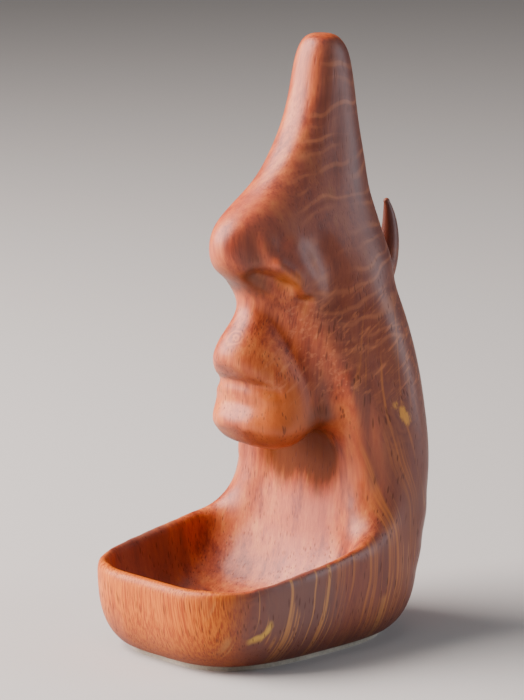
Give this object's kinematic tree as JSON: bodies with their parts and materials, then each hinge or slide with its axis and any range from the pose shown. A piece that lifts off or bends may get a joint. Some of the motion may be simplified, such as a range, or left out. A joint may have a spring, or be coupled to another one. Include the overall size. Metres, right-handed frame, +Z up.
{
  "type": "eyeglasses display stand",
  "caption": "Carved wooden spectacle stand: a tall nose bridge holds the frame, over lips, chin and a small tray, with a horn-shaped hook behind.",
  "frame": {"origin": "middle of the carved base's footprint, on the surface that the stand rests on", "axes": "+Z up, -Y the way the face looks, +X towards the face's own left; the body is symmetric about X = 0"},
  "size_m": [0.0712, 0.1021, 0.177],
  "materials": {
    "rosewood": "gloss lacquer over figured rosewood",
    "dowel_wood": "plain turned hardwood",
    "felt": "matte felt"
  },
  "bodies": {
    "root": {"carved_body": "rosewood", "rear_hook": "rosewood", "hook_dowel": "dowel_wood", "base_felt": "felt"}
  },
  "joints": []
}
